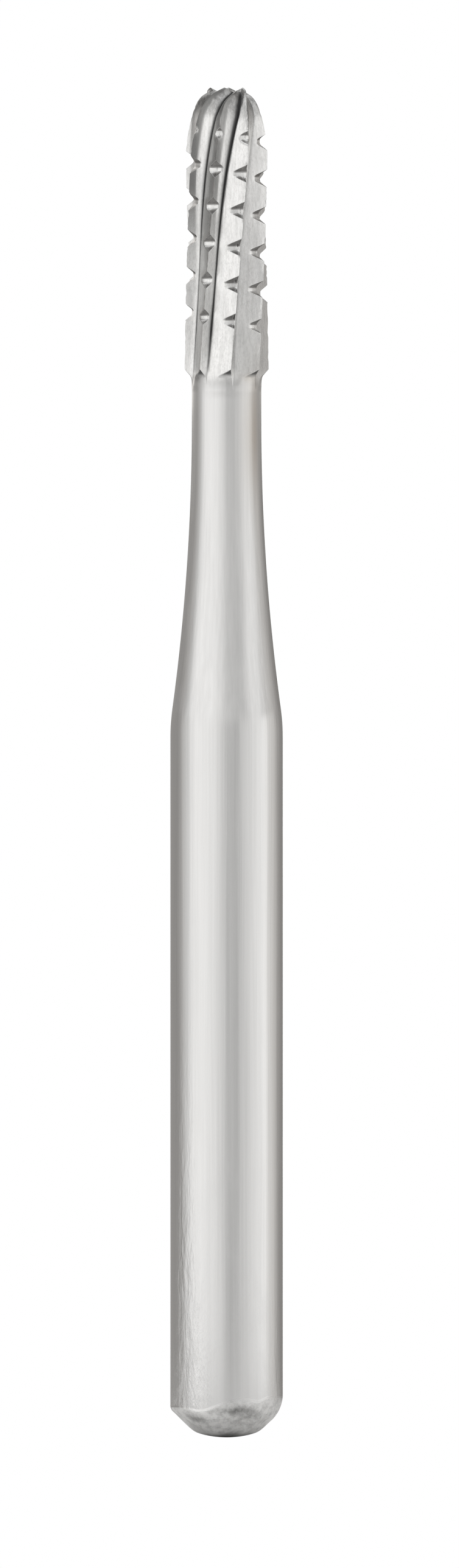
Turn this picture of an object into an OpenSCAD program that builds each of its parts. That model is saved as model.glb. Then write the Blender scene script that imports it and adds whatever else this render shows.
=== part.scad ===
// Friction-grip carbide burr with a domed, cross-cut fissure head.
// The origin is the centre of the shank's end. +Z runs along the axis to the tip of the head.

/* [Shank] */
// Diameter of the plain shank
shank_d = 1.6; // [1.4:0.01:2]
// Length from the shank's end to the start of the flare
shank_l = 9.96; // [6:0.01:14]
// Diameter of the crowned face at the shank's end
end_face_d = 0.94; // [0.6:0.01:1.1]
// Height of the crown on that face
end_crown_h = 0.075; // [0.02:0.005:0.12]
// Angle between the end's chamfer and the axis
end_chamfer_angle = 45; // [30:1:60]
// Radius between the end's chamfer and the shank
end_round_r = 0.35; // [0.1:0.01:0.45]

/* [Neck] */
// Diameter of the neck behind the head
neck_d = 0.99; // [0.9:0.01:1.1]
// Length of the hollow flare between shank and neck
flare_l = 4.51; // [3:0.01:7]
// Radius that softens the corner between shank and flare
flare_round_r = 3; // [1:0.1:8]
// Length of the straight neck
neck_l = 0.62; // [0.3:0.01:2]

/* [Head] */
// Diameter over the cutting edges
head_d = 1.2; // [1.16:0.01:1.4]
// Length of the head, from the foot of its chamfer to the tip
head_l = 4.11; // [3.8:0.01:5]
// Length of the domed end
dome_l = 1.03; // [0.7:0.01:1.3]
// Bluntness of the dome, where 2 would be round
dome_blunt = 3; // [2.4:0.1:4]
// Length that the flat ground on the tip takes off the dome
tip_flat_l = 0.04; // [0:0.005:0.05]

/* [Blades] */
// Number of blades
blade_count = 8; // [6:1:10]
// Angle between the cutting edges and the axis
blade_helix = 5; // [0:0.5:12]
// Direction of the first blade's edge at the foot of the head
blade_start = 5; // [0:1:45]
// Further turn that the blades take in the dome
tip_curl = 50; // [0:1:60]
// Diameter at the bottom of the flutes
core_d = 0.85; // [0.76:0.01:0.9]
// Length over which the flutes run out at the foot of the head
run_out_l = 1.9; // [0.6:0.1:2.4]
// Share of a blade's pitch that its cutting face takes at the foot of the head
face_share_foot = 0.14; // [0.1:0.01:0.25]
// Share of a blade's pitch that its cutting face takes at the tip
face_share_tip = 0.78; // [0.3:0.01:0.8]
// Share of a cutting face's height at which it bends, at the foot of the head
face_bend_foot = 0.14; // [0.1:0.01:0.4]
// Share of a cutting face's height at which it bends, in the upper half of the head
face_bend_tip = 0.5; // [0.1:0.01:0.6]
// Angle from a cutting edge forward to that bend
face_bend_a = 3; // [1:0.5:4]
// Outward bow of the land behind each cutting edge
land_bow = 0.004; // [0:0.001:0.02]
// Drop of the flutes and of every second blade at the tip
tip_drop = 0.045; // [0:0.005:0.06]
// Depth of the hollow that the ends of the blades stand around at the tip
tip_hollow = 0.05; // [0.01:0.005:0.08]

/* [Cross cuts] */
// Pitch of the thread that notches the blades
cut_pitch = 0.526; // [0.46:0.001:0.56]
// Width of a notch at a full cutting edge
cut_w = 0.25; // [0.16:0.01:0.28]
// Diameter at the root of the thread
cut_root_d = 0.944; // [0.9:0.01:1.04]
// Distance from the tip to the first blade's first notch
cut_tip_l = 0.3; // [0.26:0.01:0.6]
// Number of notches in each blade
cut_count = 6; // [4:1:6]
// Length from the tip over which the notches reach their depth
cut_lead_l = 0.78; // [0.6:0.01:0.9]
// Rise of the thread's root over that length
cut_lead_rise = 0.6; // [0:0.05:0.8]
// Height above the foot at which the thread starts to leave the head
cut_fade_h = 1.63; // [1:0.01:2]
// Rise of the thread's root as it leaves the head
cut_fade_rise = 0.1; // [0:0.01:0.12]

/* [Hidden] */
steel = [0.74, 0.74, 0.72];

shank_r = shank_d / 2;
neck_r = neck_d / 2;
head_r = head_d / 2;
core_r = core_d / 2;
cut_root_r = cut_root_d / 2;

// Heights of the flare, the neck and the foot of the head
flare_z = shank_l;
neck_z = flare_z + flare_l;
foot_z = neck_z + neck_l;
// The neck ends just inside the head, and the head's foot ends just inside the neck
neck_sink = 0.02;
foot_sink = 0.03;
foot_h = head_r - neck_r;
foot_low_h = -0.4 * foot_h;
foot_blend = 0.02;
flute_lift = 0.008;

blade_pitch = 360 / blade_count;
blade_twist = 360 * tan(blade_helix) / (PI * head_d);
dome_rise = 1.6;
dome_core_share = 0.86;
curl_l = 0.5;
short_blade_l = 0.3;
face_power = 3;
// Where the bend starts to rise and over what length, in shares of the head's length
face_bend_from = 0.41;
face_bend_over = 0.25;
cut_round_w = 0.3;
cut_round_h = 0.012;
cut_least_w = 0.05;

stem_sides = 96;
arc_steps = 10;
flare_steps = 24;
tip_step = 0.001;
tip_hollow_share = 0.6;
tip_rows = 9;
tip_crowding = 1.8;
tip_rows_end = 0.65;
land_rows = 3;
flute_rows = 26;
// Places across a blade: the flute behind it is -1, its edge is 0 and the flute ahead is 1
places = [-0.82, -0.62, -0.42, -0.22, 0, 0.25, 0.5, 0.75];
// Rows across a notch from its upper lip to its lower lip, and rows of the land above a notch, in pitches
notch_rows = [1, cut_round_w, 0, -cut_round_w, -1];
between_rows = [0.6, 0.4];
// Rings at the foot of the head: shares of the chamfer's own height at a place, and of its full height
foot_rings = [[0, 1.35], [1, 0.12], [1, 0], [0.5, 0], [0, 0.1], [0, -0.1], [0, foot_low_h / foot_h]];
foot_least_h = 0.04;
land_low_h = foot_h * foot_rings[0][1];

function limit(x) = min(max(x, 0), 1);
function mix(a, b, t) = a + (b - a) * t;
function bezier(a, b, c, t) = mix(mix(a, b, t), mix(b, c, t), t);
function polar(r, a) = [r * cos(a), r * sin(a)];
function arc(centre, r, from, to, steps) = [for (i = [0:steps]) centre + polar(r, mix(from, to, i / steps))];

// The stem's outline: a crowned end, a chamfer rounded into the shank, and a hollow flare up to the neck
end_crown_r = (pow(end_face_d / 2, 2) + pow(end_crown_h, 2)) / (2 * end_crown_h);
end_crown_a = asin(end_face_d / 2 / end_crown_r);
end_chamfer_h = (shank_r - end_face_d / 2) / tan(end_chamfer_angle);
end_round_z = end_crown_h + end_chamfer_h + end_round_r * tan(end_chamfer_angle / 2);
flare_both_r = (pow(flare_l, 2) + pow(shank_r - neck_r, 2)) / (2 * (shank_r - neck_r));
flare_r = flare_both_r - flare_round_r;
flare_a = asin(flare_l / flare_both_r);
stem_outline = concat(
    arc([0, end_crown_r], end_crown_r, -90, -90 + end_crown_a, arc_steps),
    arc([shank_r - end_round_r, end_round_z], end_round_r, -end_chamfer_angle, 0, arc_steps),
    arc([shank_r - flare_round_r, flare_z], flare_round_r, 0, flare_a, arc_steps),
    arc([neck_r + flare_r, neck_z], flare_r, 180 + flare_a, 180, flare_steps),
    [[neck_r, foot_z + neck_sink], [0, foot_z + neck_sink]]
);

// Heights in the head are measured from its foot. Depth in the dome runs from 0 at the tip to 1.
function dome_depth(h) = limit((head_l - h + tip_flat_l) / (dome_l + tip_flat_l));
function tip_share(h, l) = pow(limit(1 - (head_l - h) / l), 2);

// Radius of the cutting edges
function edge_r(h) = head_r * pow(1 - pow(1 - dome_depth(h), dome_rise), 1 / dome_blunt);
// Radius at the bottom of the flutes, which rise to the neck as they run out
function flute_r(h) =
    let (run_out = pow(limit(1 - h / run_out_l), 2))
    min(dome_core_share * edge_r(h), mix(core_r, neck_r + flute_lift, run_out));
// Radius of the chamfer at the foot of the head, with a fillet into the neck
function foot_r(h) =
    neck_r + (h + norm([h, foot_blend])) / 2 - foot_sink * pow(limit(h / foot_low_h), 2);
// Height of the chamfer at a place across a blade, which is less where the blade is lower
function chamfer_h(t) = max(norm(section_point(0, t)) - neck_r, foot_least_h);
// Radius at the root of the cross-cut thread, which comes in at the tip and leaves towards the foot
function root_r(h) =
    cut_root_r + cut_lead_rise * tip_share(h, cut_lead_l) + cut_fade_rise * pow(limit(1 - h / cut_fade_h), 2);

// Direction of a blade's edge, and the angle from it forward to the bottom of its flute
function edge_a(b, h) = blade_start + b * blade_pitch + blade_twist * h + tip_curl * tip_share(h, curl_l);
function face_a(h) = blade_pitch * mix(face_share_foot, face_share_tip, pow(limit(h / head_l), face_power));

// Share of a cutting face's height at which it bends, which grows over part of the head's length
function face_bend(h) =
    mix(face_bend_foot, face_bend_tip, limit((h / head_l - face_bend_from) / face_bend_over));

// Section of a blade whose edge lies on the X axis: a bowed land behind it and a bent face ahead
function land_point(h, t) =
    let (edge = [edge_r(h), 0], back = polar(flute_r(h), face_a(h) - blade_pitch))
    let (chord = edge - back, outward = [chord[1], -chord[0]] / norm(chord))
    bezier(edge, (edge + back) / 2 + 2 * land_bow * edge_r(h) / head_r * outward, back, -t);
function face_point(h, t) =
    let (low = flute_r(h), high = edge_r(h), a = face_a(h))
    bezier([high, 0], polar(mix(low, high, face_bend(h)), face_bend_a), polar(low, a), t);
function section_point(h, t) = t < 0 ? land_point(h, t) : face_point(h, t);

// At the tip the flutes lie lower than the edges, and every second blade is short
function drop(b, h, t) =
    tip_drop * (pow(t, 2) * (1 - dome_depth(h)) + (b % 2) * tip_share(h, short_blade_l));

// A vertex of the head, with its radius held below a limit
function head_point(b, h, t, r_limit) =
    let (p = section_point(h, t), a = edge_a(b, h) + atan2(p[1], p[0]))
    let (xy = polar(min(norm(p), r_limit, foot_r(h)), a))
    [xy[0], xy[1], h - drop(b, h, t)];

// Each notch is level, and from blade to blade they step down on a left-hand thread, by one pitch in a turn
function notch_h(b, n) = head_l - cut_tip_l - cut_pitch * (n + b / blade_count);
// Half the width of a notch at a place, which narrows to a thin strip where the surface is below the root
function half_notch(h, t) =
    let (depth = (norm(section_point(h, t)) - root_r(h)) / (head_r - cut_root_r))
    max(cut_w * depth, cut_least_w) / 2;

// A row of vertices along a blade has a height, a kind and its place in a notch or its share of the chamfer
function level_row(h) = [h, "level", 0];
function notch_row(h, k) = [h, "notch", k];
function foot_row(ring) = [ring[1] * foot_h, "foot", ring[0]];
// Heights of the rows at the tip, closer together towards it, which end above the blade's first notch
function tip_heights(b) =
    let (low_h = notch_h(b, 0) + tip_rows_end * cut_w)
    [for (i = [0:tip_rows - 1]) mix(head_l - tip_step, low_h, pow(i / (tip_rows - 1), tip_crowding))];
// Rows of a blade from the tip to the foot
function blade_rows(b) =
    let (low_h = notch_h(b, cut_count - 1) - cut_w / 2)
    concat(
        [for (h = tip_heights(b)) level_row(h)],
        [for (k = notch_rows) notch_row(notch_h(b, 0), k)],
        [for (n = [1:cut_count - 1]) for (row = concat(
            [for (m = between_rows) level_row(notch_h(b, n) + m * cut_pitch)],
            [for (k = notch_rows) notch_row(notch_h(b, n), k)])) row],
        [for (i = [1:land_rows]) level_row(mix(low_h, land_low_h, i / (land_rows + 1)))],
        [for (ring = foot_rings) foot_row(ring)]
    );
function row_h(row, t) =
    row[1] == "notch" ? row[0] + row[2] * half_notch(row[0], t) :
    row[1] == "foot" ? row[0] + row[2] * chamfer_h(t) : row[0];
function row_point(b, row, t) =
    let (h = row_h(row, t), in_notch = row[1] == "notch" && abs(row[2]) < 1)
    head_point(b, h, t, in_notch ? root_r(h) + (row[2] == 0 ? 0 : cut_round_h) : head_r);

// Heights along the bottom of the flute behind a blade, level with the blade's rows at the tip
function flute_heights(b) =
    let (tip = tip_heights(b), low = tip[tip_rows - 1])
    concat(
        tip,
        [for (i = [1:flute_rows]) mix(low, land_low_h, i / (flute_rows + 1))],
        [for (ring = foot_rings) row_h(foot_row(ring), -1)]
    );

// Vertices are numbered blade by blade, then flute by flute, then the rim of the tip's hollow and two centres
row_total = len(blade_rows(0));
flute_total = len(flute_heights(0));
last_place = len(places) - 1;
flute_first = blade_count * row_total * len(places);
hollow_first = flute_first + blade_count * flute_total;
hollow_total = blade_count * (len(places) + 1);
centre_first = hollow_first + hollow_total;
function blade_index(b, i, c) = (b * row_total + i) * len(places) + c;
function flute_index(b, k) = flute_first + (b % blade_count) * flute_total + k;
// The place in a falling list of heights that lies nearest to a height
function nearest(heights, h) =
    len([for (k = [1:len(heights) - 1]) if ((heights[k - 1] + heights[k]) / 2 > h) k]);

side_points = concat(
    [for (b = [0:blade_count - 1]) for (row = blade_rows(b)) for (t = places) row_point(b, row, t)],
    [for (b = [0:blade_count - 1]) for (h = flute_heights(b)) head_point(b, h, -1, head_r)]
);
head_points = concat(
    side_points,
    [for (i = ring(0, 0)) [tip_hollow_share * side_points[i][0], tip_hollow_share * side_points[i][1],
        head_l - tip_hollow]],
    [[0, 0, head_l - tip_hollow], [0, 0, foot_low_h - foot_h]]
);

// Faces between the places of one blade
function blade_faces(b) = [
    for (i = [0:row_total - 2]) for (c = [0:last_place - 1])
        let (p = blade_index(b, i, c), q = blade_index(b, i + 1, c))
            for (face = [[p, p + 1, q + 1], [p, q + 1, q]]) face
];
// Faces between a blade and the flute behind it or ahead of it
function flute_faces(b, ahead) =
    let (rows = blade_rows(b), c = ahead ? last_place : 0, t = places[c], f = ahead ? b + 1 : b)
    let (heights = flute_heights(f % blade_count))
    let (levels = [for (row = rows) nearest(heights, row_h(row, t))])
    [for (i = [0:row_total - 2])
        let (p = blade_index(b, i, c), q = blade_index(b, i + 1, c), k = levels[i])
            for (face = concat([[flute_index(f, k), p, q]],
                [for (m = [k:1:levels[i + 1] - 1]) [flute_index(f, m), q, flute_index(f, m + 1)]]))
                    ahead ? [face[0], face[2], face[1]] : face
    ];
// A ring of vertices around the head, and the fan that closes it
function ring(i, k) = [for (b = [0:blade_count - 1])
    for (index = concat([flute_index(b, k)], [for (c = [0:last_place]) blade_index(b, i, c)])) index];
function fan(centre, loop) = [for (j = [0:len(loop) - 1]) [centre, loop[(j + 1) % len(loop)], loop[j]]];
function band(inner, outer) = [for (j = [0:len(outer) - 1]) let (k = (j + 1) % len(outer))
    for (face = [[inner[j], outer[k], outer[j]], [inner[j], inner[k], outer[k]]]) face];
function reversed(loop) = [for (j = [len(loop) - 1:-1:0]) loop[j]];

hollow_rim = [for (j = [0:hollow_total - 1]) hollow_first + j];

module stem() {
    rotate_extrude($fn = stem_sides) polygon(stem_outline);
}

module cutting_head() {
    polyhedron(head_points, concat(
        [for (b = [0:blade_count - 1]) for (face = blade_faces(b)) face],
        [for (b = [0:blade_count - 1]) for (ahead = [false, true]) for (face = flute_faces(b, ahead)) face],
        band(hollow_rim, ring(0, 0)),
        fan(centre_first, hollow_rim),
        fan(centre_first + 1, reversed(ring(row_total - 1, flute_total - 1)))
    ));
}

module burr() {
    color(steel) union() {
        stem();
        translate([0, 0, foot_z]) cutting_head();
    }
}

burr();
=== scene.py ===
"""Looks of the carbide burr: a fine mesh of the CAD's own form, ground metal, and a plain pale studio."""
import math
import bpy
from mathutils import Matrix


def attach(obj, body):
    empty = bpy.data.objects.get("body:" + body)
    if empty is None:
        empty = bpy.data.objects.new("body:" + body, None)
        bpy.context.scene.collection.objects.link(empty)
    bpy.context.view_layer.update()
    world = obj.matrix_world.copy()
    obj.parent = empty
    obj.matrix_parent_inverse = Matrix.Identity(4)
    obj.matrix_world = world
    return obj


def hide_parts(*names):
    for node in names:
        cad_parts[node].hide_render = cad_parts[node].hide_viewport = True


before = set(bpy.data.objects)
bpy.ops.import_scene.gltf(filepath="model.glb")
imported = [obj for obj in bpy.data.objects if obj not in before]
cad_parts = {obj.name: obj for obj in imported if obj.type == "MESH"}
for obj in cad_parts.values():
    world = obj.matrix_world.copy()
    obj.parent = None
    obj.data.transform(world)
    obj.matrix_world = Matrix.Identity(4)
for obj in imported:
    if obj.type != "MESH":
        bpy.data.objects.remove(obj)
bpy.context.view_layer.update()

from types import SimpleNamespace

import bpy
import numpy as np

MM = 0.001

# The form, in millimetres and degrees. It is the CAD's, apart from the blades' curl, the sweep of the
# flutes at the tip, the shank end's corner and the small blends, which follow the photo more closely.

# The shank, the flare and the neck
SHANK_R = 0.8
SHANK_L = 9.96
NECK_R = 0.495
NECK_L = 0.62
FLARE_L = 4.51
FLARE_ROUND_R = 3.0
NECK_Z = SHANK_L + FLARE_L
FOOT_Z = NECK_Z + NECK_L

# The shank's end: the crowned face, the chamfer and the blend between them
FACE_R = 0.47
CROWN_H = 0.075
CHAMFER_A = 45
END_BLEND = 0.04
# The corner between shank and chamfer: its radius at the left and at the right, and the radius's limits
CORNER_LEFT_R = 0.14
CORNER_RIGHT_R = 0.5
CORNER_LIMITS = (0.1, 0.55)
# Waves in the corner's radius: how many go round, where they start and how high they are
CORNER_WAVES = [(3, 40, 0.024), (7, 10, 0.016), (13, 0, 0.0096)]
# Dips of the corner towards the end: direction from the front, half width and depth
CORNER_DIPS = [(-24, 24, 0.09), (36, 10, 0.05)]

# The head, its dome and the hollow at its tip
HEAD_R = 0.6
HEAD_L = 4.11
DOME_L = 1.03
DOME_BLUNT = 3.0
DOME_RISE = 1.6
DOME_CORE = 0.86
TIP_FLAT = 0.04
TIP_HOLLOW = 0.05
TIP_HOLLOW_SHARE = 0.6
# How far the rim of the tip drops at the flutes and on every second blade, and how far down that is felt
TIP_DROP = 0.045
SHORT_L = 0.3

# The blades
BLADES = 8
PITCH_A = 360 / BLADES
HELIX_A = 5
TWIST = 360 * math.tan(math.radians(HELIX_A)) / (math.pi * 2 * HEAD_R)
START_A = 5.0
CURL_A = 43.0
CURL_L = 0.095
LAND_BOW = 0.004

# The flutes' bottom, and how it runs out to the neck
CORE_R = 0.425
RUN_OUT_L = 1.9
FLUTE_LIFT = -0.006

# The cutting face: its share of the pitch at the foot and at the tip
FACE_FOOT = 0.14
FACE_TIP = 0.98
FACE_MOST = 0.86
FACE_SOFT = 0.1
FACE_POWER = 3.5
# The bend between its two facets: its share of the depth, where on the head it starts and over how much it
# grows, its angle and its crispness
BEND_FOOT = 0.14
BEND_TIP = 0.5
BEND_FROM = 0.41
BEND_OVER = 0.25
BEND_A = 3.0
BEND_CRISP = 0.86

# The chamfer at the foot of the blades, and the tongue in which a land runs out on the neck
FOOT_BLEND = 0.035
FOOT_LEAST = 0.04
TONGUE_L = 0.14
TONGUE_RISE = 0.0075
TONGUE_SOFT = 0.001

# The notches of the cross-cut thread, and how their roots rise towards the tip and the foot
CUT_PITCH = 0.526
CUT_ROOT_R = 0.472
CUT_TIP_L = 0.3
CUT_COUNT = 6
CUT_LEAD_L = 0.78
CUT_LEAD_RISE = 0.6
CUT_FADE_H = 1.63
CUT_FADE_RISE = 0.1
CUT_DEPTH = HEAD_R - CUT_ROOT_R
# A notch: its half widths above and below its root at a full edge, and beside them its flat floor and how
# softly that turns into its sides
CUT_UP = 0.122
CUT_LOW = 0.132
CUT_FLOOR = 0.2
CUT_ROUND = 0.22
CUT_SLANT = math.hypot(1 - CUT_FLOOR, CUT_ROUND) - CUT_ROUND
CUT_LEAST = 0.002
LIP_SOFT = 0.006

# Rows and columns of the mesh. A column's place t on its blade goes from -1 at the flute behind the land,
# over 0 at the cutting edge, to 1 at the flute ahead of the cutting face.
LAND_T = [-1, -0.97, -0.93, -0.87, -0.8, -0.72, -0.64, -0.56, -0.48, -0.4, -0.32, -0.25, -0.18, -0.12, -0.07,
          -0.035, -0.012]
FACE_T = [0, 0.015, 0.05, 0.1, 0.17, 0.25, 0.34, 0.43, 0.52, 0.61, 0.7, 0.78, 0.85, 0.91, 0.96]
TIP_ROWS = 32
TIP_CROWD = 1.8
TIP_STEP = 0.001
TIP_RINGS = [0.3, 0.55, 0.64, 0.72, 0.8, 0.88, 0.95]
# A notch's rows, as shares of its half width above and below its root
NOTCH_K = [1.14, 1.05, 1, 0.95, 0.87, 0.76, 0.63, 0.5, 0.37, 0.24, 0.12, 0,
           -0.12, -0.24, -0.37, -0.5, -0.63, -0.76, -0.87, -0.95, -1, -1.05, -1.14]
BETWEEN_ROWS = 8
LOW_ROWS = 12
# The rows at the foot, as shares of the chamfer's height
FOOT_K = [2.0, 1.7, 1.45, 1.25, 1.12, 1.04, 1, 0.96, 0.88, 0.76, 0.6, 0.44, 0.3, 0.18, 0.08, 0, -0.08, -0.18]
TONGUE_ROWS = 9
NECK_ROWS = 10
FLARE_ROWS = 30
SHOULDER_ROWS = 12
SHANK_ROWS = 5
CORNER_ROWS = 14
END_ROWS = 20
# Where a blade's rows start to blend with the next blade's, and over how much of t
NEXT_FROM = (0.55, 0.45)
# Over how many rows of the corner the end's rough finish sets in, and how much of it is lost at the centre
END_FADE_ROWS = 5
END_FADE = 0.6
# A place that is outside every notch
NO_NOTCH = 3.0

# Chips along the cutting edges: how many on a blade, how far from its ends, the ranges of their size, depth
# and place across the edge, how far they reach along t, and how deep they are on each blade beside the
# others
CHIP_SEED = 11
CHIP_COUNT = 46
CHIP_FOOT = 0.15
CHIP_TIP = 0.25
CHIP_SIZE = (0.010, 0.032)
CHIP_DEPTH = (0.002, 0.011)
CHIP_PLACE = (-0.05, 0.03)
CHIP_REACH = 0.06
CHIPPED = [1.0, 1.0, 1.0, 1.0, 1.0, 1.0, 2.0, 1.0]

# Tones of the head, for each blade: how much darker its land is, how dark the painted shade on the outer part
# of its cutting face is, and how dark and how wide the line of painted shade at the bottom of the flute ahead
# of it is
LAND_DARKER = [0.2, 0.55, 0.1, 0.5, 0.0, 0.8, 0.0, 0.1]
RAKE_SHADE = [0.8, 0.7, 0.75, 0.15, 1.0, 0.85, 0.8, 0.7]
GROOVE_SHADE = [0.9, 1.0, 0.8, 1.0, 1.0, 1.0, 0.4, 0.9]
GROOVE_W = [0.02, 0.013, 0.024, 0.014, 0.013, 0.03, 0.014, 0.02]
# The line's half width on the side of the land, the land's length, and the line's depth
GROOVE_BACK_W = 0.008
LAND_L = 0.32
GROOVE_DEPTH = 0.008
# The soft band of painted shade beside the line: its tone, and its width beside the line's
GROOVE_HALO = 0.4
GROOVE_HALO_W = 1.8
# How much wider the line is on the lower head, and its least tone at the foot
GROOVE_WIDER = 0.7
GROOVE_FOOT_TONE = 0.7
# The painted shade on the outer part of a cutting face: where it ends, how much further it goes at the tip,
# and how soft that end is
RAKE_END = 0.55
RAKE_END_TIP = 0.06
RAKE_SOFT = 0.14
RAKE_START = -0.005
# Where something sets in and over how much: heights above the foot, or shares of a notch's half width
GROOVE_WIDE_TO = (-1.3, 0.6)
GROOVE_WIDE_FROM = (0.1, 0.5)
GROOVE_FROM = (-0.02, 0.2)
GROOVE_FULL = (0.1, 0.6)
RAKE_TIP = (2.8, 0.6)
DARKER_FROM = (0.03, 0.08)
TIP_FROM = (3.62, 0.3)
HEAD_FROM = (-TONGUE_L, 0.2)
# Where the painted shade on a notch's upper and lower walls sets in, and how dark the lower one is
WALL_UPPER = (0.04, 0.12)
WALL_LOWER = (0.42, 0.14)
WALL_LOWER_TONE = 0.85
UNDER_FROM = (0.005, 0.05)
# How softly tones set in: in depth of metal taken off for a notch and a foot's chamfer, and in t for a land
CUT_SOFT = 0.008
UNDER_SOFT = 0.01
DARKER_SOFT = 0.02

# Stains and worn patches: direction from the front with + to the right, half width, height above the
# shank's end, half height and strength
DARK_STAINS = [
    (12, 16, 0.38, 0.06, 1.0),
    (28, 10, 0.3, 0.05, 0.6),
    (-38, 10, 0.27, 0.04, 0.7),
    (-53, 12, 15.08, 0.06, 0.8),
    (-8, 30, 14.84, 0.04, 0.2),
    (-78, 12, 17.5, 0.4, 0.8),
    (-14, 40, 15.0, 0.07, 0.28),
    (11, 3.2, 15.5, 0.28, 0.7),
]
WARM_STAINS = [
    (36, 12, 15.07, 0.06, 0.4),
    (54, 11, 14.3, 0.9, 0.7),
    (38, 15, 14.3, 0.9, 0.35),
]
WORN = [
    (-48, 22, 1.6, 2.6, 1.0),
    (62, 14, 0.9, 0.7, 0.4),
]


def limit(x):
    return np.clip(x, 0.0, 1.0)


def mix(a, b, t):
    return a + (b - a) * t


def smooth(x):
    x = limit(x)
    return x * x * (3 - 2 * x)


def fade(x, start, over):
    return smooth((x - start) / over)


def bell(x, half_width):
    return np.exp(-(x / half_width) ** 2)


def soft_min(a, b, k):
    return np.minimum(a, b) - np.maximum(k - np.abs(a - b), 0) ** 2 / (4 * k)


def half_turns(a):
    """An angle brought to between -180 and 180."""
    return (a + 180) % 360 - 180


# The head's form, as functions of the height h above its foot
def below_tip(h):
    """0 at the tip and 1 from the foot of the dome down."""
    return limit((HEAD_L - h + TIP_FLAT) / (DOME_L + TIP_FLAT))


def tip_share(h, length):
    return limit(1 - (HEAD_L - h) / length) ** 2


def edge_r(h):
    return HEAD_R * (1 - (1 - below_tip(h)) ** DOME_RISE) ** (1 / DOME_BLUNT)


def flute_r(h):
    run_out = limit(1 - h / RUN_OUT_L) ** 2
    return np.minimum(DOME_CORE * edge_r(h), mix(CORE_R, NECK_R + FLUTE_LIFT, run_out))


def chamfer_r(h):
    """The neck, and the chamfer that opens from it at the foot of the blades."""
    return NECK_R + (h + np.hypot(h, FOOT_BLEND)) / 2


def edge_a(b, h):
    return START_A + b * PITCH_A + TWIST * h + CURL_A * np.exp((h - HEAD_L) / CURL_L)


def face_a(h):
    share = mix(FACE_FOOT, FACE_TIP, limit(h / HEAD_L) ** FACE_POWER)
    return PITCH_A * soft_min(share, FACE_MOST, FACE_SOFT)


def face_upper(h):
    """0 where a cutting face is a single hollow, 1 where it has two facets."""
    return limit((h / HEAD_L - BEND_FROM) / BEND_OVER)


def bezier(p0, p1, p2, s):
    return mix(mix(p0, p1, s), mix(p1, p2, s), s)


def corner_curve(p0, p1, p2, s):
    """A curve from p0 to p2 that comes close to the corner p1."""
    near_0 = mix(p0, p1, BEND_CRISP)
    near_2 = mix(p2, p1, BEND_CRISP)
    return mix(bezier(p0, near_0, near_2, s), bezier(near_0, near_2, p2, s), s)


def section(h, t):
    """Radius and angle on a blade's section whose edge is at angle 0, with the land behind it."""
    high, low, a = edge_r(h), flute_r(h), face_a(h)

    back = np.radians(a - PITCH_A)
    back_x, back_y = low * np.cos(back), low * np.sin(back)
    bow = 2 * LAND_BOW * high / HEAD_R / np.hypot(high - back_x, back_y)
    land_x = bezier(high, (high + back_x) / 2 - bow * back_y, back_x, -t)
    land_y = bezier(0 * high, back_y / 2 - bow * (high - back_x), back_y, -t)

    bend = np.radians(BEND_A)
    bend_r = mix(low, high, mix(BEND_FOOT, BEND_TIP, face_upper(h)))
    face_x = corner_curve(high, bend_r * np.cos(bend), low * np.cos(np.radians(a)), t)
    face_y = corner_curve(0 * high, bend_r * np.sin(bend), low * np.sin(np.radians(a)), t)

    x = np.where(t < 0, land_x, face_x)
    y = np.where(t < 0, land_y, face_y)
    return np.hypot(x, y), np.degrees(np.arctan2(y, x))


def root_r(h):
    lead = CUT_LEAD_RISE * tip_share(h, CUT_LEAD_L)
    return CUT_ROOT_R + lead + CUT_FADE_RISE * limit(1 - h / CUT_FADE_H) ** 2


def notch_h(b, n):
    return HEAD_L - CUT_TIP_L - CUT_PITCH * (n + b / BLADES)


def notch_side(share):
    """Rise of a notch's side above its root, 1 at a full edge: straight beside a flat floor."""
    return (np.hypot(np.maximum(np.abs(share) - CUT_FLOOR, 0), CUT_ROUND) - CUT_ROUND) / CUT_SLANT


def notch_lip(h, t, half_width):
    """Half the width of a notch at a place, on the side with that half width at a full edge."""
    rise = np.maximum(section(h, t)[0] - root_r(h), CUT_LEAST) / CUT_DEPTH
    return half_width * (CUT_FLOOR + np.sqrt((rise * CUT_SLANT + CUT_ROUND) ** 2 - CUT_ROUND ** 2))


# The head's columns, with the place on the blade and the number of the blade for each
T_ONE = np.array(LAND_T + FACE_T)
PER_BLADE = len(T_ONE)
T = np.tile(T_ONE, BLADES)
B = np.repeat(np.arange(BLADES), PER_BLADE)
COLUMNS = len(T)


def blade_heights(b, t):
    """Heights of a blade's rows, from the tip to the foot, for arrays of blade numbers and places."""
    b = b % BLADES

    def notch_row(n, k):
        h = notch_h(b, n)
        return h + k * notch_lip(h, t, CUT_UP if k > 0 else CUT_LOW)

    top = HEAD_L - TIP_STEP
    first = notch_row(0, NOTCH_K[0])
    rows = [mix(top, first, (i / TIP_ROWS) ** TIP_CROWD) for i in range(TIP_ROWS)]
    for n in range(CUT_COUNT):
        notch = [notch_row(n, k) for k in NOTCH_K]
        if n > 0:
            above = rows[-1]
            rows += [mix(above, notch[0], i / BETWEEN_ROWS) for i in range(1, BETWEEN_ROWS)]
        rows += notch
    above = rows[-1]
    chamfer = np.maximum(section(np.zeros_like(t), t)[0] - NECK_R, FOOT_LEAST)
    rows += [mix(above, chamfer * FOOT_K[0], i / LOW_ROWS) for i in range(1, LOW_ROWS)]
    rows += [chamfer * k for k in FOOT_K]
    above = rows[-1]
    rows += [mix(above, -TONGUE_L, i / TONGUE_ROWS) for i in range(1, TONGUE_ROWS + 1)]
    return np.array(rows)


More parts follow.
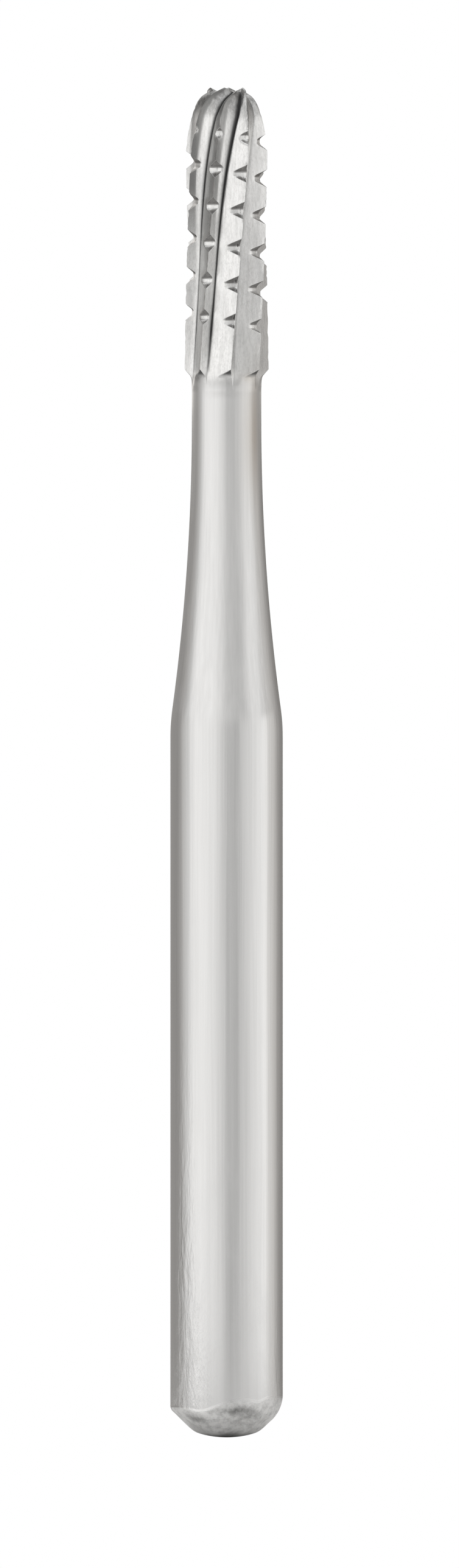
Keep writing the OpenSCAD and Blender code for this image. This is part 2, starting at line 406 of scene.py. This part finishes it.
# Towards the flutes' bottoms the rows blend with those of the next blade, and meet them half way
next_share = 0.5 * fade(np.abs(T), *NEXT_FROM)
own_rows = blade_heights(B, T)
next_rows = blade_heights(np.where(T < 0, B - 1, B + 1), np.where(T < 0, 1.0, -1.0))
H = mix(own_rows, next_rows, next_share)


# The tones of the head, for each of its vertices, among them painted shade in the notches, on the cutting
# faces, along the flutes' bottoms and under the lands' ends
def flute_groove_and_shade():
    """The painted shade at the bottom of each flute: a narrow dark line, with a soft band beside it on the
    cutting face's side. The same mask also carves a shallow groove there.
    """
    face_l = np.hypot(edge_r(H) - flute_r(H), flute_r(H) * np.radians(face_a(H)))
    from_low = (1 - np.abs(T)) * np.where(T < 0, LAND_L, face_l)
    wider = 1 + GROOVE_WIDER * fade(-H, *GROOVE_WIDE_TO) * fade(H, *GROOVE_WIDE_FROM)
    half_width = np.where(T < 0, GROOVE_BACK_W, np.array(GROOVE_W)[B] * wider)
    halo = GROOVE_HALO * (T > 0) * bell(from_low, GROOVE_HALO_W * half_width)
    line = np.minimum(bell(from_low, half_width) + halo, 1)
    flute = np.where(T < 0, B - 1, B) % BLADES
    foot_tone = mix(GROOVE_FOOT_TONE, 1, fade(H, *GROOVE_FULL))
    return line * np.array(GROOVE_SHADE)[flute] * fade(H, *GROOVE_FROM) * foot_tone


def painted_notch_shade(cut, in_notch):
    """Painted shade on the walls of a notch, above and below its floor, which is left bright."""
    return cut * np.maximum(fade(in_notch, *WALL_UPPER), WALL_LOWER_TONE * fade(-in_notch, *WALL_LOWER))


def painted_rake_shade(cut):
    """Painted shade on the outer part of each cutting face."""
    end = RAKE_END + RAKE_END_TIP * fade(H, *RAKE_TIP)
    outer = fade(-T, -end, RAKE_SOFT) * (T > RAKE_START)
    return np.array(RAKE_SHADE)[B] * outer * (1 - cut) * face_upper(H)


def darker_land(cut):
    return np.array(LAND_DARKER)[B] * smooth(-T / DARKER_SOFT) * (1 - cut) * fade(H, *DARKER_FROM)


def edge_chips():
    """Depth of the chips along the cutting edges."""
    rng = np.random.default_rng(CHIP_SEED)
    chips = np.zeros_like(H)
    for b in range(BLADES):
        for centre in rng.uniform(CHIP_FOOT, HEAD_L - CHIP_TIP, CHIP_COUNT):
            size = rng.uniform(*CHIP_SIZE)
            deep = rng.uniform(*CHIP_DEPTH)
            place = rng.uniform(*CHIP_PLACE)
            here = bell(H - centre, size) * bell(T - place, CHIP_REACH)
            chips = np.maximum(chips, np.where(B == b, CHIPPED[b] * deep * here, 0))
    return chips


# Radius, angle and height of each vertex of the head
plain_r, section_a = section(np.maximum(H, 0), T)
plain_r = plain_r + TONGUE_RISE * limit(-H / TONGUE_L) ** 2
# Place in the nearest notch: 0 at its root, 1 at its upper lip and -1 at its lower lip, at a full edge
in_notch = np.full_like(plain_r, NO_NOTCH)
for n in range(CUT_COUNT):
    away = H - notch_h(B, n)
    share = away / np.where(away > 0, CUT_UP, CUT_LOW)
    in_notch = np.where(np.abs(share) < np.abs(in_notch), share, in_notch)
notched_r = soft_min(plain_r, root_r(H) + CUT_DEPTH * notch_side(in_notch), LIP_SOFT)
cut = limit((plain_r - notched_r) / CUT_SOFT)
# The line of painted shade at the bottom of each flute. Outside the notches it is also carved in as a shallow
# groove
groove_and_shade = flute_groove_and_shade()
worn_r = notched_r - GROOVE_DEPTH * groove_and_shade * (1 - cut) - edge_chips()
radius = soft_min(worn_r, chamfer_r(H), np.where(H > 0, LIP_SOFT, TONGUE_SOFT))

theta = edge_a(B, H) + section_a
short_blade = mix(B % 2, 1 - B % 2, next_share)
drop = TIP_DROP * (T ** 2 * (1 - below_tip(H)) + short_blade * tip_share(H, SHORT_L))
z = FOOT_Z + H - drop

# The tones by name: values on the head, and the value on the rings inside the tip
TONES = {
    # Painted shade on the walls of the notches
    "notch_shade": (painted_notch_shade(cut, in_notch), 0),
    # Painted shadow under the ends of the lands, where the chamfer at the foot cuts into them
    "foot_shadow": (smooth((worn_r - radius) / UNDER_SOFT) * fade(radius - NECK_R, *UNDER_FROM), 0),
    # Painted shade along the bottom of the flutes
    "groove_and_shade": (groove_and_shade, 0),
    # Painted shade on the outer part of the cutting faces
    "rake_shade": (painted_rake_shade(cut), 0),
    "land_darker": (darker_land(cut), 0),
    "tip_zone": (fade(H, *TIP_FROM), 1),
    "head": (fade(H, *HEAD_FROM), 1),
}


def points(r, a, height):
    a = np.radians(a)
    return np.stack([r * np.cos(a), r * np.sin(a), height + 0 * r], axis=-1)


head = points(radius, theta, z)
tip_z = FOOT_Z + HEAD_L - TIP_HOLLOW
tip_centre = np.array([0.0, 0.0, tip_z])


def tip_ring(share):
    """A ring of the tip's hollow: a flat floor, which climbs to the rim near it."""
    ring = tip_centre + share * (head[0] - tip_centre)
    climb = limit((share - TIP_HOLLOW_SHARE) / (1 - TIP_HOLLOW_SHARE))
    ring[:, 2] = mix(tip_z, head[0][:, 2], climb)
    return ring


tip_rings = [tip_ring(share) for share in TIP_RINGS]

# The stem, from the neck down to the shank's end. Its columns turn from the blades' spacing to an even one.
even_a = edge_a(B, 0) + face_a(0) - PITCH_A + PITCH_A * (np.arange(COLUMNS) % PER_BLADE) / PER_BLADE
stem = []
end_zone = []


def stem_row(r, height, turn=1.0, zone=0.0):
    stem.append(points(r + 0 * even_a, mix(theta[-1], even_a, turn), height + 0 * even_a))
    end_zone.append(zone + 0 * even_a)


for i in range(1, NECK_ROWS + 1):
    stem_row(NECK_R, mix(FOOT_Z + H[-1], NECK_Z, i / NECK_ROWS), turn=smooth(i / NECK_ROWS))

# The flare: one large hollow arc, and a rounded shoulder of the opposite curve that meets the shank
both_r = (FLARE_L ** 2 + (SHANK_R - NECK_R) ** 2) / (2 * (SHANK_R - NECK_R))
flare_r = both_r - FLARE_ROUND_R
flare_a = math.asin(FLARE_L / both_r)
for i in range(1, FLARE_ROWS + 1):
    a = flare_a * i / FLARE_ROWS
    stem_row(NECK_R + flare_r * (1 - math.cos(a)), NECK_Z - flare_r * math.sin(a))
for i in range(1, SHOULDER_ROWS + 1):
    a = flare_a * (1 - i / SHOULDER_ROWS)
    stem_row(SHANK_R - FLARE_ROUND_R * (1 - math.cos(a)), SHANK_L + FLARE_ROUND_R * math.sin(a))

# The corner between shank and chamfer is crisper on one side and rounder on the other, and a little wavy
to_the_right = 0.5 + 0.5 * np.cos(np.radians(even_a))
corner_r = mix(CORNER_LEFT_R, CORNER_RIGHT_R, smooth(to_the_right))
wave = sum(high * np.sin(np.radians(count * even_a + start)) for count, start, high in CORNER_WAVES)
corner_r = np.clip(corner_r + wave, *CORNER_LIMITS)
from_front = half_turns(even_a + 90)
dip = sum(deep * bell(from_front - towards, half_width) for towards, half_width, deep in CORNER_DIPS)
corner_z = CROWN_H + SHANK_R - FACE_R + corner_r * math.tan(math.radians(CHAMFER_A / 2)) - dip
for i in range(1, SHANK_ROWS):
    stem_row(SHANK_R, mix(SHANK_L, corner_z, i / SHANK_ROWS))
for i in range(CORNER_ROWS + 1):
    a = math.radians(CHAMFER_A) * i / CORNER_ROWS
    stem_row(SHANK_R - corner_r * (1 - math.cos(a)), corner_z - corner_r * math.sin(a),
             zone=smooth(i / END_FADE_ROWS))

crown_r = (FACE_R ** 2 + CROWN_H ** 2) / (2 * CROWN_H)
inner_r = SHANK_R - corner_r * (1 - math.cos(math.radians(CHAMFER_A)))


def end_z(r):
    """Height of the shank's end at a radius: the crown, rounded into the chamfer."""
    crown = crown_r - np.sqrt(crown_r ** 2 - r ** 2)
    chamfer = CROWN_H + r - FACE_R
    return (crown + chamfer + np.hypot(crown - chamfer, END_BLEND)) / 2


for i in range(1, END_ROWS):
    s = i / END_ROWS
    r = inner_r * (1 - s)
    stem_row(r, end_z(r) - s * end_z(0.0) - dip * (1 - s) ** 2, zone=1.0 - END_FADE * s)

# All rows as one grid, closed by a fan of triangles at the tip and one at the shank's end
grid = np.array(tip_rings + list(head) + stem)
ROWS = len(grid)
TIP_I = ROWS * COLUMNS
END_I = TIP_I + 1
verts = np.concatenate([grid.reshape(-1, 3), [tip_centre], [[0.0, 0.0, 0.0]]]) * MM

row, column = np.meshgrid(np.arange(ROWS - 1), np.arange(COLUMNS), indexing="ij")
here = row * COLUMNS + column
beside = row * COLUMNS + (column + 1) % COLUMNS
faces = np.stack([here, here + COLUMNS, beside + COLUMNS, beside], axis=-1).reshape(-1, 4).tolist()
last_row = (ROWS - 1) * COLUMNS
for j in range(COLUMNS):
    k = (j + 1) % COLUMNS
    faces.append((TIP_I, j, k))
    faces.append((END_I, last_row + k, last_row + j))

mesh = bpy.data.meshes.new("burr_fine")
mesh.from_pydata(verts.tolist(), [], faces)
mesh.validate()
mesh.polygons.foreach_set("use_smooth", [True] * len(mesh.polygons))
# The cutting edges are sharp
ends = np.empty(2 * len(mesh.edges), dtype=int)
mesh.edges.foreach_get("vertices", ends)
ends = ends.reshape(-1, 2)
crest = (ends % COLUMNS % PER_BLADE == len(LAND_T)).all(axis=1)
on_head = (ends // COLUMNS < len(tip_rings) + len(head)).all(axis=1)
mesh.edges.foreach_set("use_edge_sharp", (crest & on_head).tolist())


def attribute(name, grid_values, tip_value=0.0):
    """A tone of the mesh, from its values on the grid and at the tip's centre. It is 0 at the other end."""
    values = np.append(np.ravel(grid_values), [tip_value, 0.0]).astype(np.float32)
    mesh.attributes.new(name, "FLOAT", "POINT").data.foreach_set("value", values)


no_rings = np.zeros((len(tip_rings), COLUMNS))
no_stem = np.zeros((len(stem), COLUMNS))
for name, (head_values, tip_value) in TONES.items():
    attribute(name, np.concatenate([no_rings + tip_value, head_values, no_stem]), tip_value)
attribute("end_zone", np.concatenate([no_rings, np.zeros_like(H), end_zone]))

facing = np.degrees(np.arctan2(grid[..., 1], grid[..., 0])) + 90


def stained(stains):
    total = np.zeros_like(facing)
    for towards, half_a, at_z, half_z, strong in stains:
        total += strong * bell(half_turns(facing - towards), half_a) * bell(grid[..., 2] - at_z, half_z)
    return limit(total)


attribute("dark_stain", stained(DARK_STAINS))
attribute("warm_stain", stained(WARM_STAINS))
attribute("worn", stained(WORN))

burr = bpy.data.objects.new("burr_ground", mesh)
bpy.context.scene.collection.objects.link(burr)


class Nodes:
    """Short names for building a node tree."""

    def __init__(self, tree):
        self.tree = tree
        tree.nodes.clear()

    def add(self, kind, inputs=None, **props):
        node = self.tree.nodes.new(kind)
        for key, value in props.items():
            setattr(node, key, value)
        for key, value in (inputs or {}).items():
            self.feed(node.inputs[key], value)
        return node

    def feed(self, socket, value):
        if isinstance(value, bpy.types.NodeSocket):
            self.tree.links.new(value, socket)
        else:
            socket.default_value = value

    def math(self, kind, a, b):
        return self.add("ShaderNodeMath", {0: a, 1: b}, operation=kind).outputs[0]

    def ramp(self, value, low, high, to_low=0.0, to_high=1.0):
        node = self.add("ShaderNodeMapRange", {"Value": value, "From Min": low, "From Max": high,
                                               "To Min": to_low, "To Max": to_high})
        return node.outputs["Result"]

    def blend(self, factor, a, b):
        node = self.add("ShaderNodeMix", {"Factor": factor}, data_type="RGBA")
        self.feed(node.inputs[6], a)
        self.feed(node.inputs[7], b)
        return node.outputs[2]

    def noise(self, vector, scale, detail, rough):
        node = self.add("ShaderNodeTexNoise", {"Vector": vector, "Scale": scale, "Detail": detail,
                                               "Roughness": rough})
        return node.outputs["Fac"]

    def named(self, name):
        return self.add("ShaderNodeAttribute", attribute_name=name).outputs["Fac"]

    def bump(self, height, strength, distance, normal=None):
        node = self.add("ShaderNodeBump", {"Height": height, "Strength": strength, "Distance": distance})
        if normal:
            self.feed(node.inputs["Normal"], normal)
        return node.outputs[0]


def new_material(name):
    material = bpy.data.materials.new(name)
    material.use_nodes = True
    return material, Nodes(material.node_tree)


# Ground carbide. The colours of its layers:
GROUND_LOW = (0.72, 0.72, 0.715, 1)
GROUND_HIGH = (0.82, 0.82, 0.815, 1)
FRESH = (0.97, 0.97, 0.96, 1)
GRIND_LINE = (0.6, 0.6, 0.59, 1)
SPECK = (0.5, 0.5, 0.49, 1)
END_MOTTLE = (0.48, 0.48, 0.475, 1)
STAIN = (0.26, 0.26, 0.255, 1)
WARM = (0.5, 0.46, 0.41, 1)
DARK_MOTTLE = (0.24, 0.24, 0.235, 1)
# The layers that lie on top of all others: the tone's name, its strength and its colour
TOP_LAYERS = [
    # Painted shade on the walls of the notches
    ("notch_shade", 0.9, (0.17, 0.165, 0.16, 1)),
    # Painted shade on the outer part of the cutting faces
    ("rake_shade", 0.96, (0.25, 0.25, 0.245, 1)),
    # Painted shade along the bottom of the flutes
    ("groove_and_shade", 1.0, (0.03, 0.03, 0.03, 1)),
    # Painted shadow under the ends of the lands at the foot
    ("foot_shadow", 0.92, (0.05, 0.05, 0.05, 1)),
]
FRESH_SHARE = 0.8


def ground_noises(n):
    """The noises of the ground metal, drawn out along the axis the more the smaller their first number is."""
    place = n.add("ShaderNodeTexCoord").outputs["Object"]

    def drawn_out(along, scale, detail, rough):
        stretch = (1 / MM, 1 / MM, along / MM)
        vector = n.add("ShaderNodeMapping", {"Vector": place, "Scale": stretch}).outputs["Vector"]
        return n.noise(vector, scale, detail, rough)

    fine = drawn_out(0.012, 26, 3, 0.5)
    broad = drawn_out(0.03, 6, 3, 0.5)
    return SimpleNamespace(
        fine=fine,
        streak=n.math("ADD", n.ramp(fine, 0.3, 0.7, -0.5, 0.5), n.ramp(broad, 0.3, 0.7, -0.5, 0.5)),
        mottle=drawn_out(0.35, 3.2, 4, 0.6),
        lines=drawn_out(0.12, 22, 4, 0.65),
        specks=drawn_out(0.45, 42, 4, 0.7),
        tip=drawn_out(0.7, 14, 4, 0.65),
        end=drawn_out(1, 9, 5, 0.65),
        worn=drawn_out(0.2, 12, 4, 0.6),
    )


def ground_colour(n, noises):
    head_here = n.named("head")
    end_here = n.named("end_zone")

    def within(zone, value):
        return n.math("MULTIPLY", value, zone)

    colour = n.blend(n.ramp(noises.streak, -1, 1), GROUND_LOW, GROUND_HIGH)
    colour = n.blend(within(head_here, FRESH_SHARE), colour, FRESH)
    colour = n.blend(within(head_here, n.ramp(noises.lines, 0.42, 0.72, 0, 0.55)), colour, GRIND_LINE)
    colour = n.blend(within(head_here, n.ramp(noises.specks, 0.45, 0.75, 0, 0.45)), colour, SPECK)
    tip_mottle = n.ramp(n.math("ADD", noises.mottle, noises.tip), 0.8, 1.2, 0.3, 1.0)
    colour = n.blend(within(n.named("tip_zone"), tip_mottle), colour, DARK_MOTTLE)
    colour = n.blend(within(end_here, FRESH_SHARE), colour, FRESH)
    colour = n.blend(within(end_here, n.ramp(noises.end, 0.42, 0.68, 0, 0.75)), colour, END_MOTTLE)
    colour = n.blend(within(n.named("dark_stain"), n.ramp(noises.end, 0.3, 0.6, 0.45, 1.0)), colour, STAIN)
    colour = n.blend(n.named("warm_stain"), colour, WARM)
    colour = n.blend(within(n.named("land_darker"), n.ramp(noises.mottle, 0.3, 0.6, 0.7, 1.0)), colour, DARK_MOTTLE)
    for name, strength, tone in TOP_LAYERS:
        colour = n.blend(within(n.named(name), strength), colour, tone)
    return colour


def ground_roughness(n, noises):
    rough = n.ramp(noises.streak, -1, 1, 0.12, 0.2)
    rough = n.math("ADD", rough, n.math("MULTIPLY", n.named("head"), 0.1))
    rough = n.math("ADD", rough, n.ramp(noises.mottle, 0.5, 0.75, 0, 0.08))
    return n.math("ADD", rough, n.math("MULTIPLY", n.named("end_zone"), 0.22))


def ground_normal(n, noises):
    """Grinding lines, soft mottling, the worn patches and the rough end, with distances in metres."""
    normal = n.bump(noises.fine, 0.35, 0.0025 * MM)
    normal = n.bump(noises.mottle, 0.1, 0.008 * MM, normal)
    normal = n.bump(n.math("MULTIPLY", noises.worn, n.named("worn")), 0.9, 0.02 * MM, normal)
    return n.bump(n.math("MULTIPLY", noises.end, n.named("end_zone")), 0.8, 0.018 * MM, normal)


def carbide():
    material, n = new_material("ground_carbide")
    noises = ground_noises(n)
    shader = n.add("ShaderNodeBsdfPrincipled", {
        "Base Color": ground_colour(n, noises),
        "Metallic": n.ramp(n.named("head"), 0, 1, 1.0, 0.85),
        "Roughness": ground_roughness(n, noises),
        "Normal": ground_normal(n, noises),
    })
    n.add("ShaderNodeOutputMaterial", {"Surface": shader.outputs[0]})
    return material


burr.data.materials.append(carbide())
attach(burr, "root")
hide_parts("burr")

# The studio is a tent of light around the burr, a roof, a pale floor and a white background. The tent's light
# goes by direction from the front, with + to the right. The light on the head:
HEAD_LIGHT = [(-172, 1.0), (-152, 1.0), (-142, 0.6), (-130, 0.3), (-118, 0.22), (-102, 0.28), (-92, 0.6),
              (-84, 1.06), (-30, 1.06), (-12, 0.86), (0, 0.68), (22, 0.6), (34, 0.54), (42, 0.66), (50, 0.86),
              (58, 1.02), (92, 1.02), (102, 0.6), (110, 0.36), (140, 0.32), (172, 0.5)]
# The light on the flare and the foot of the head
FLARE_LIGHT = [(-172, 0.9), (-152, 0.9), (-142, 0.66), (-130, 0.5), (-118, 0.46), (-102, 0.5),
               (-92, 0.66), (-84, 0.94), (-70, 1.03), (-30, 1.03), (-12, 0.86), (0, 0.7), (22, 0.64),
               (34, 0.64), (42, 0.72), (50, 0.82), (58, 0.9), (74, 0.9), (88, 0.74), (102, 0.58),
               (120, 0.46), (140, 0.46), (172, 0.6)]
# The light on the shank and the neck
STEM_LIGHT = [(-172, 0.33), (-138, 0.33), (-122, 0.32), (-112, 0.36), (-106, 0.46), (-98, 0.6),
              (-90, 0.7), (-82, 0.78), (-76, 0.98), (-62, 1.06), (-40, 1.0), (-24, 0.94), (-14, 0.84),
              (-4, 0.7), (2, 0.56), (24, 0.56), (28, 0.7), (40, 0.75), (54, 0.88), (68, 0.95), (80, 1.04),
              (90, 1.04), (93, 0.8), (110, 0.7), (118, 0.58), (126, 0.42), (142, 0.3), (172, 0.22)]
# How blue the light is beside red: a little warm, and warmer at the back
TINT = [(-172, 0.93), (-110, 0.94), (-90, 0.98), (80, 0.98), (110, 0.94), (172, 0.9)]
# Tiers of the tent, in metres: where each starts and ends, how much of its light it gives, and that light
TIERS = [
    (-0.01, 0.0146, 1.0, STEM_LIGHT),
    (0.0146, 0.0182, 1.0, FLARE_LIGHT),
    (0.0182, 0.034, 1.0, HEAD_LIGHT),
    (0.034, 0.05, 0.7, HEAD_LIGHT),
]
TENT_R = 0.03
TENT_STEP_A = 3
ROOF_Z = TIERS[-1][1]
ROOF_LIGHT = 0.95
FLOOR_HALF = 0.6
FLOOR_Z = -0.00001
FLOOR_COLOUR = (0.85, 0.85, 0.85, 1)
FLOOR_ROUGH = 0.8
WORLD_LIGHT = 0.85


def emitter(name, strength, colour_name=None):
    """A material that shines, white or in the colours of a mesh attribute."""
    material, n = new_material(name)
    shader = n.add("ShaderNodeEmission", {"Color": (1, 1, 1, 1), "Strength": strength})
    if colour_name:
        light = n.add("ShaderNodeAttribute", attribute_name=colour_name).outputs["Color"]
        n.feed(shader.inputs["Color"], light)
    n.add("ShaderNodeOutputMaterial", {"Surface": shader.outputs[0]})
    return material


def stage_mesh(name, vertices, polygons, material):
    data = bpy.data.meshes.new(name)
    data.from_pydata(vertices, [], polygons)
    data.materials.append(material)
    thing = bpy.data.objects.new(name, data)
    bpy.context.scene.collection.objects.link(thing)
    return thing


def square(name, half, height, material):
    corners = [(-half, -half, height), (half, -half, height), (half, half, height), (-half, half, height)]
    return stage_mesh(name, corners, [(0, 1, 2, 3)], material)


directions = np.arange(STEM_LIGHT[0][0], STEM_LIGHT[-1][0] + 1, TENT_STEP_A)
turned = np.radians(directions)
tent_x = np.tile(TENT_R * np.sin(turned), 2)
tent_y = np.tile(-TENT_R * np.cos(turned), 2)
strips = [(s, s + 1, s + 1 + len(turned), s + len(turned)) for s in range(len(turned) - 1)]
blue = np.interp(directions, *zip(*TINT))
white = np.ones_like(blue)
tint = np.stack([white, (1 + blue) / 2, blue, white], axis=-1)
tent_look = emitter("tent_light", 1.0, "light")
for tier, (z_low, z_high, share, light) in enumerate(TIERS):
    tent_z = np.repeat([z_low, z_high], len(turned))
    corners = np.stack([tent_x, tent_y, tent_z], axis=-1).tolist()
    tent = stage_mesh("tent_%d" % tier, corners, strips, tent_look)
    tent.visible_camera = False
    glow = share * np.interp(directions, *zip(*light))[:, None] * tint
    shine = tent.data.attributes.new("light", "FLOAT_COLOR", "POINT").data
    shine.foreach_set("color", np.tile(glow, (2, 1)).astype(np.float32).ravel())

roof = square("roof", TENT_R, ROOF_Z, emitter("roof", ROOF_LIGHT))
roof.visible_camera = False

floor_look, floor_nodes = new_material("floor_pale")
floor_shader = floor_nodes.add("ShaderNodeBsdfPrincipled", {"Base Color": FLOOR_COLOUR,
                                                            "Roughness": FLOOR_ROUGH})
floor_nodes.add("ShaderNodeOutputMaterial", {"Surface": floor_shader.outputs[0]})
square("floor", FLOOR_HALF, FLOOR_Z, floor_look)

# The background is white to the camera and in reflections, and a little darker as a light
world = bpy.data.worlds.new("studio")
bpy.context.scene.world = world
world.use_nodes = True
w = Nodes(world.node_tree)
path = w.add("ShaderNodeLightPath").outputs
shown = w.math("MAXIMUM", w.math("MAXIMUM", path["Is Camera Ray"], path["Is Glossy Ray"]),
               path["Is Transmission Ray"])
background = w.add("ShaderNodeBackground", {"Color": (1, 1, 1, 1),
                                            "Strength": w.ramp(shown, 0, 1, WORLD_LIGHT, 1.0)})
w.add("ShaderNodeOutputWorld", {"Surface": background.outputs[0]})
bpy.context.scene.view_settings.view_transform = "Standard"

# The camera, level and square to the axis
VIEW_H = 22.303 * MM
VIEW_X = 0.041 * MM
VIEW_Z = 9.294 * MM
CAMERA_Y = -0.05
camera_data = bpy.data.cameras.new("camera")
camera_data.type = "ORTHO"
camera_data.ortho_scale = VIEW_H
camera_data.clip_start = 0.001
camera_data.clip_end = 10
camera = bpy.data.objects.new("camera", camera_data)
camera.location = (VIEW_X, CAMERA_Y, VIEW_Z)
camera.rotation_euler = (math.radians(90), 0, 0)
bpy.context.scene.collection.objects.link(camera)
bpy.context.scene.camera = camera
